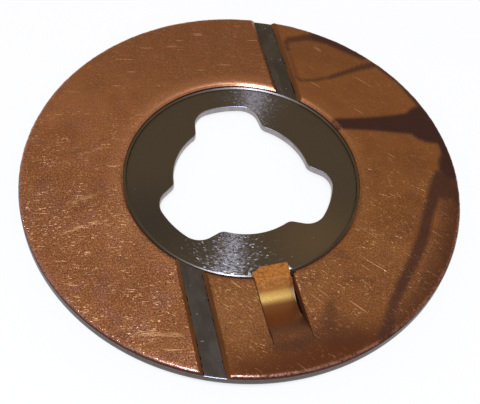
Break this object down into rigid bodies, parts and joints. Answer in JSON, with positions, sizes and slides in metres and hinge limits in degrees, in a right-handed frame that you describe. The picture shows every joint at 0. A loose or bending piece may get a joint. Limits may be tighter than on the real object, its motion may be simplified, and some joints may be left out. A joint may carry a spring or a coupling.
{
  "type": "thrust washer",
  "caption": "Flat steel-backed bronze thrust washer with a lobed central hole, skewed oil grooves, a turned steel inner face and a lanced tongue that keys into its seat.",
  "frame": {"origin": "centre of the lobed hole, in the plane of the steel back face", "axes": "+Z along the washer's axis towards the bronze face, +Y towards the lobe opposite the tongue, with the oil grooves running along Y"},
  "size_m": [0.076, 0.076, 0.0054],
  "materials": {
    "steel": "turned inner face, ground groove floors, dull blanked edge",
    "bronze": "rubbed brown bronze with fine scratches and dark oil stains"
  },
  "bodies": {
    "root": {"steel_backing": "steel", "bronze_pad_left": "bronze", "bronze_pad_right": "bronze"}
  },
  "joints": []
}
